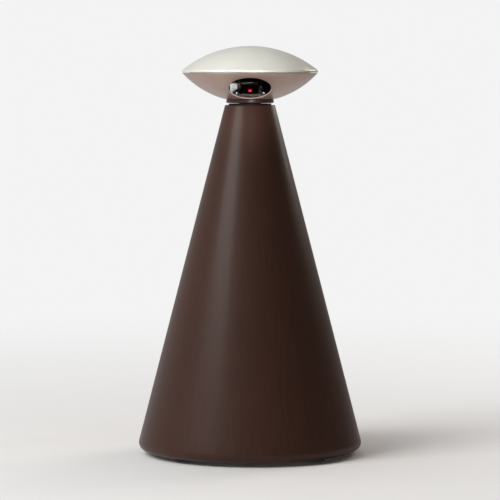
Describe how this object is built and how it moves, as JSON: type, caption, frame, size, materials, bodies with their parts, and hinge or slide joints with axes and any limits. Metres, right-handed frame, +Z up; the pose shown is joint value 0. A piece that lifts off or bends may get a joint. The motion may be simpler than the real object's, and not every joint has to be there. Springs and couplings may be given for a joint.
{
  "type": "automatic cat laser toy",
  "caption": "Tall cone with a turning lens-shaped head: a motor turns the head and a tilting mirror throws a laser beam out of its oval window.",
  "frame": {"origin": "on the table under the middle of the cone", "axes": "+Z up along the cone's axis; the head's window faces -Y at rest and the power button faces +Y"},
  "size_m": [0.1216, 0.1216, 0.222],
  "materials": {
    "cone_brown": "satin, fine grain",
    "base_black": "fine texture",
    "foot_rubber": "matte",
    "cell_jacket": "printed film over metal",
    "spring_steel": "bright",
    "contact_nickel": "plated",
    "screw_steel": "zinc plated",
    "board_green": "solder mask",
    "chip_black": "matte",
    "can_aluminium": "drawn",
    "socket_white": "matte",
    "plunger_white": "matte",
    "button_silver": "pearl",
    "plate_grey": "matte",
    "gear_white": "smooth",
    "axle_steel": "ground",
    "motor_steel": "drawn",
    "motor_cap_white": "matte",
    "magnet_grey": "sintered",
    "armature_copper": "wound",
    "laser_brass": "turned",
    "laser_lens": "clear",
    "bush_black": "smooth",
    "tube_black": "smooth",
    "collar_red_brown": "satin",
    "head_pearl": "pearl silver",
    "lining_black": "matte",
    "mirror_silver": "polished",
    "knob_chrome": "bright",
    "wire_red": "smooth",
    "wire_black": "smooth"
  },
  "bodies": {
    "base": {"cone_shell": "cone_brown", "base_plate": "base_black", "battery_springs": "spring_steel", "battery_contacts": "contact_nickel", "base_screws": "screw_steel", "circuit_board": "board_green", "control_chip": "chip_black", "capacitor": "can_aluminium", "wire_sockets": "socket_white", "key_switch": "chip_black", "lower_gear_plate": "plate_grey", "upper_gear_plate": "plate_grey", "first_axle": "axle_steel", "second_axle": "axle_steel", "chassis_screws": "screw_steel", "motor_can": "motor_steel", "motor_end_cap": "motor_cap_white", "motor_magnets": "magnet_grey", "motor_terminals": "contact_nickel", "motor_screws": "screw_steel", "laser_barrel": "laser_brass", "laser_lens": "laser_lens", "neck_bushing": "bush_black", "battery_cell_1": "cell_jacket", "battery_cell_2": "cell_jacket", "battery_cell_3": "cell_jacket", "battery_cell_4": "cell_jacket", "rubber_foot_front_right": "foot_rubber", "rubber_foot_back_right": "foot_rubber", "rubber_foot_back_left": "foot_rubber", "rubber_foot_front_left": "foot_rubber", "battery_wire_red": "wire_red", "battery_wire_black": "wire_black", "motor_wire_red": "wire_red", "motor_wire_black": "wire_black", "laser_wire_red": "wire_red", "laser_wire_black": "wire_black"},
    "head": {"head_dome": "head_pearl", "head_bowl": "head_pearl", "head_screws": "screw_steel", "mirror_housing": "lining_black", "neck_collar": "collar_red_brown", "drive_tube": "tube_black", "tube_screws": "screw_steel", "retaining_clip": "spring_steel", "output_gear": "gear_white"},
    "mirror": {"mirror_carrier": "lining_black", "mirror_glass": "mirror_silver", "tilt_knob": "knob_chrome"},
    "gear_1": {"compound_gear_1": "gear_white"},
    "gear_2": {"compound_gear_2": "gear_white"},
    "rotor": {"motor_armature": "armature_copper", "motor_shaft": "axle_steel", "motor_pinion": "gear_white"},
    "button": {"power_button": "button_silver", "key_plunger": "plunger_white"},
    "door": {"battery_door": "base_black", "battery_door_screws": "screw_steel"}
  },
  "joints": [
    {"name": "head_spin", "type": "hinge", "parent": "base", "child": "head", "pos_m": [0, 0, 0.19], "axis": [0, 0, 1], "continuous": true},
    {"name": "mirror_tilt", "type": "hinge", "parent": "head", "child": "mirror", "pos_m": [0, 0, 0.2001], "axis": [-1, 0, 0], "range_deg": [-3, 7.5]},
    {"name": "gear_2_spin", "type": "hinge", "parent": "base", "child": "gear_2", "pos_m": [0.01299, -0.0075, 0.121], "axis": [0, 0, 1], "continuous": true},
    {"name": "gear_1_spin", "type": "hinge", "parent": "base", "child": "gear_1", "pos_m": [0.01543, 0.00425, 0.117], "axis": [0, 0, 1], "continuous": true},
    {"name": "rotor_spin", "type": "hinge", "parent": "base", "child": "rotor", "pos_m": [0.00857, 0.0141, 0.102], "axis": [0, 0, 1], "continuous": true},
    {"name": "button_press", "type": "slide", "parent": "base", "child": "button", "axis": [0, -1, 0], "range_m": [0, 0.0008], "stiffness_N_per_m": 500},
    {"name": "door_lift", "type": "slide", "parent": "base", "child": "door", "axis": [0, 0, -1], "range_m": [0, 0.03]}
  ],
  "couplings": [
    {"joint": "gear_2_spin", "follows": "head_spin", "ratio": -4},
    {"joint": "gear_1_spin", "follows": "head_spin", "ratio": 12},
    {"joint": "rotor_spin", "follows": "head_spin", "ratio": -36}
  ]
}
